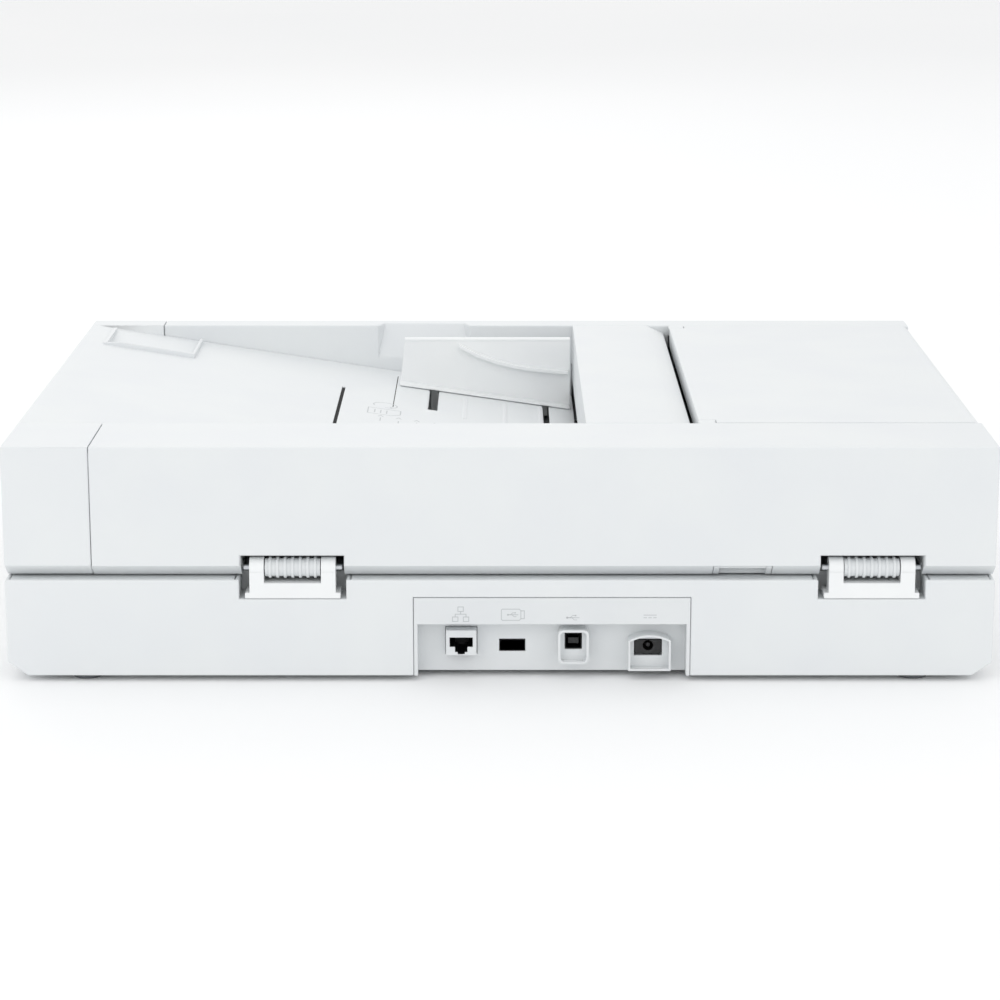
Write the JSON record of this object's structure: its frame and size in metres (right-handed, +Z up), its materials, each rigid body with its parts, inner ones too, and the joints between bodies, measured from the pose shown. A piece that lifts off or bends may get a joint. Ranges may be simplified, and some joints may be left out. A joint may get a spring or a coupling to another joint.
{
  "type": "document scanner",
  "caption": "Flatbed document scanner with a sheet feeder in its hinged lid, recessed paper tray with sliding guides, rear sockets and raising lid hinges.",
  "frame": {"origin": "on the floor under the middle of the closed casing", "axes": "+Z up, +X toward the paper tray's end, +Y toward the rear face with the sockets"},
  "size_m": [0.512, 0.37, 0.125],
  "materials": {
    "casing": "fine satin texture",
    "insert": "satin",
    "tray": "fine satin texture",
    "inner_plastic": "matt",
    "glass": "polished",
    "rubber": "matt",
    "roller_rubber": "matt",
    "steel": "brushed",
    "plated_shell": "satin plating",
    "board": "solder mask",
    "socket_black": "matt",
    "motor_can": "satin",
    "gear_plastic": "smooth",
    "foam": "open-cell foam",
    "pad_white": "smooth",
    "display": "gloss",
    "accent": "gloss",
    "button": "satin"
  },
  "bodies": {
    "base": {"base_tub": "casing", "base_bezel": "casing", "platen_glass": "glass", "feeder_glass": "glass", "port_panel": "insert", "network_socket": "plated_shell", "usb_host_socket": "plated_shell", "usb_device_socket": "socket_black", "power_inlet": "socket_black", "main_board": "board", "base_screws": "steel", "rubber_feet": "rubber", "guide_rod": "steel", "scan_motor": "motor_can", "drive_belt": "rubber", "belt_tensioner": "steel", "control_panel": "insert", "display_window": "display"},
    "posts": {"hinge_post_a": "casing", "hinge_post_b": "casing", "hinge_pins": "steel"},
    "lid": {"hinge_leaf_a": "insert", "hinge_leaf_b": "insert", "lid_frame": "casing", "lid_cover": "casing", "input_tray": "tray", "feed_bridge": "casing", "tray_underside": "insert", "cable_cover": "insert", "pad_foam": "foam", "pad_sheet": "pad_white", "lid_screws": "steel", "feeder_chassis": "inner_plastic", "feeder_motor": "motor_can", "second_sensor": "socket_black", "cover_hinge_pins": "steel"},
    "carriage": {"scan_carriage": "inner_plastic", "image_sensor": "socket_black"},
    "motor_pulley": {"motor_pulley": "steel"},
    "idler_pulley": {"idler_pulley": "gear_plastic"},
    "power_button": {"power_button": "button"},
    "scan_button": {"scan_button": "accent"},
    "two_sided_button": {"two_sided_button": "button"},
    "cancel_button": {"cancel_button": "button"},
    "front_guide": {"guide_front": "tray"},
    "rear_guide": {"guide_rear": "tray"},
    "guide_pinion": {"guide_pinion": "gear_plastic"},
    "feeder_cover": {"feeder_cover": "casing"},
    "drum": {"feed_drum": "roller_rubber", "drum_gear": "gear_plastic"},
    "exit": {"exit_roller": "roller_rubber", "exit_gear": "gear_plastic"},
    "separation": {"separation_roller": "roller_rubber", "separation_gear": "gear_plastic"},
    "retard": {"retard_roller": "roller_rubber"},
    "pick_arm": {"pick_arm": "inner_plastic"},
    "pick": {"pick_roller": "roller_rubber"},
    "motor_gear": {"motor_gear": "gear_plastic"},
    "lower_idler": {"lower_idler_gear": "gear_plastic"},
    "upper_idler": {"upper_idler_gear": "gear_plastic"}
  },
  "joints": [
    {"name": "post_lift", "type": "slide", "parent": "base", "child": "posts", "axis": [0, 0, 1], "range_m": [0, 0.015]},
    {"name": "lid_hinge", "type": "hinge", "parent": "posts", "child": "lid", "pos_m": [0, 0.1792, 0.06], "axis": [-1, 0, 0], "range_deg": [0, 75]},
    {"name": "feeder_cover_hinge", "type": "hinge", "parent": "lid", "child": "feeder_cover", "pos_m": [-0.2515, -0.02085, 0.1205], "axis": [0, -1, 0], "range_deg": [0, 75]},
    {"name": "front_guide_slide", "type": "slide", "parent": "lid", "child": "front_guide", "axis": [0, 1, 0], "range_m": [0, 0.062]},
    {"name": "rear_guide_slide", "type": "slide", "parent": "lid", "child": "rear_guide", "axis": [0, -1, 0], "range_m": [0, 0.062]},
    {"name": "guide_pinion_turn", "type": "hinge", "parent": "lid", "child": "guide_pinion", "pos_m": [0.007, -0.02085, 0.0735], "axis": [0, 0, 1], "range_deg": [0, 445]},
    {"name": "carriage_slide", "type": "slide", "parent": "base", "child": "carriage", "axis": [1, 0, 0], "range_m": [0, 0.338]},
    {"name": "motor_pulley_turn", "type": "hinge", "parent": "base", "child": "motor_pulley", "pos_m": [0.19, -0.05685, 0.017], "axis": [0, 0, 1], "continuous": true},
    {"name": "idler_pulley_turn", "type": "hinge", "parent": "base", "child": "idler_pulley", "pos_m": [-0.243, -0.05685, 0.017], "axis": [0, 0, 1], "continuous": true},
    {"name": "drum_turn", "type": "hinge", "parent": "lid", "child": "drum", "pos_m": [-0.208, -0.02085, 0.078], "axis": [0, 1, 0], "continuous": true},
    {"name": "exit_turn", "type": "hinge", "parent": "lid", "child": "exit", "pos_m": [-0.1525, -0.02085, 0.072], "axis": [0, 1, 0], "continuous": true},
    {"name": "separation_turn", "type": "hinge", "parent": "lid", "child": "separation", "pos_m": [-0.125, -0.02085, 0.087], "axis": [0, 1, 0], "continuous": true},
    {"name": "retard_turn", "type": "hinge", "parent": "lid", "child": "retard", "pos_m": [-0.125, -0.02085, 0.0718], "axis": [0, 1, 0], "continuous": true},
    {"name": "pick_arm_swing", "type": "hinge", "parent": "lid", "child": "pick_arm", "pos_m": [-0.125, -0.02085, 0.087], "axis": [0, -1, 0], "range_deg": [0, 12]},
    {"name": "pick_turn", "type": "hinge", "parent": "pick_arm", "child": "pick", "pos_m": [-0.092, -0.02085, 0.087], "axis": [0, 1, 0], "continuous": true},
    {"name": "motor_gear_turn", "type": "hinge", "parent": "lid", "child": "motor_gear", "pos_m": [-0.18119, -0.02085, 0.09835], "axis": [0, 1, 0], "continuous": true},
    {"name": "lower_idler_turn", "type": "hinge", "parent": "lid", "child": "lower_idler", "pos_m": [-0.17401, -0.02085, 0.07862], "axis": [0, 1, 0], "continuous": true},
    {"name": "upper_idler_turn", "type": "hinge", "parent": "lid", "child": "upper_idler", "pos_m": [-0.15015, -0.02085, 0.09681], "axis": [0, 1, 0], "continuous": true},
    {"name": "scan_press", "type": "slide", "parent": "base", "child": "scan_button", "axis": [0, 1, 0], "range_m": [0, 0.0006], "stiffness_N_per_m": 600, "springref_m": -0.0004},
    {"name": "two_sided_press", "type": "slide", "parent": "base", "child": "two_sided_button", "axis": [0, 1, 0], "range_m": [0, 0.0006], "stiffness_N_per_m": 600, "springref_m": -0.0004},
    {"name": "cancel_press", "type": "slide", "parent": "base", "child": "cancel_button", "axis": [0, 1, 0], "range_m": [0, 0.0006], "stiffness_N_per_m": 600, "springref_m": -0.0004},
    {"name": "power_press", "type": "slide", "parent": "base", "child": "power_button", "axis": [0, 1, 0], "range_m": [0, 0.0006], "stiffness_N_per_m": 600, "springref_m": -0.0004}
  ],
  "couplings": [
    {"joint": "rear_guide_slide", "follows": "front_guide_slide", "ratio": 1},
    {"joint": "guide_pinion_turn", "follows": "front_guide_slide", "rad_per_m": 125},
    {"joint": "motor_pulley_turn", "follows": "carriage_slide", "rad_per_m": -166.67},
    {"joint": "idler_pulley_turn", "follows": "carriage_slide", "rad_per_m": -166.67},
    {"joint": "lower_idler_turn", "follows": "drum_turn", "ratio": -1.2667},
    {"joint": "exit_turn", "follows": "drum_turn", "ratio": 2.5333},
    {"joint": "upper_idler_turn", "follows": "drum_turn", "ratio": 1.2667},
    {"joint": "separation_turn", "follows": "drum_turn", "ratio": -1.5833},
    {"joint": "retard_turn", "follows": "drum_turn", "ratio": 2.3222},
    {"joint": "pick_turn", "follows": "drum_turn", "ratio": -1.5833},
    {"joint": "motor_gear_turn", "follows": "drum_turn", "ratio": 3.1667}
  ]
}
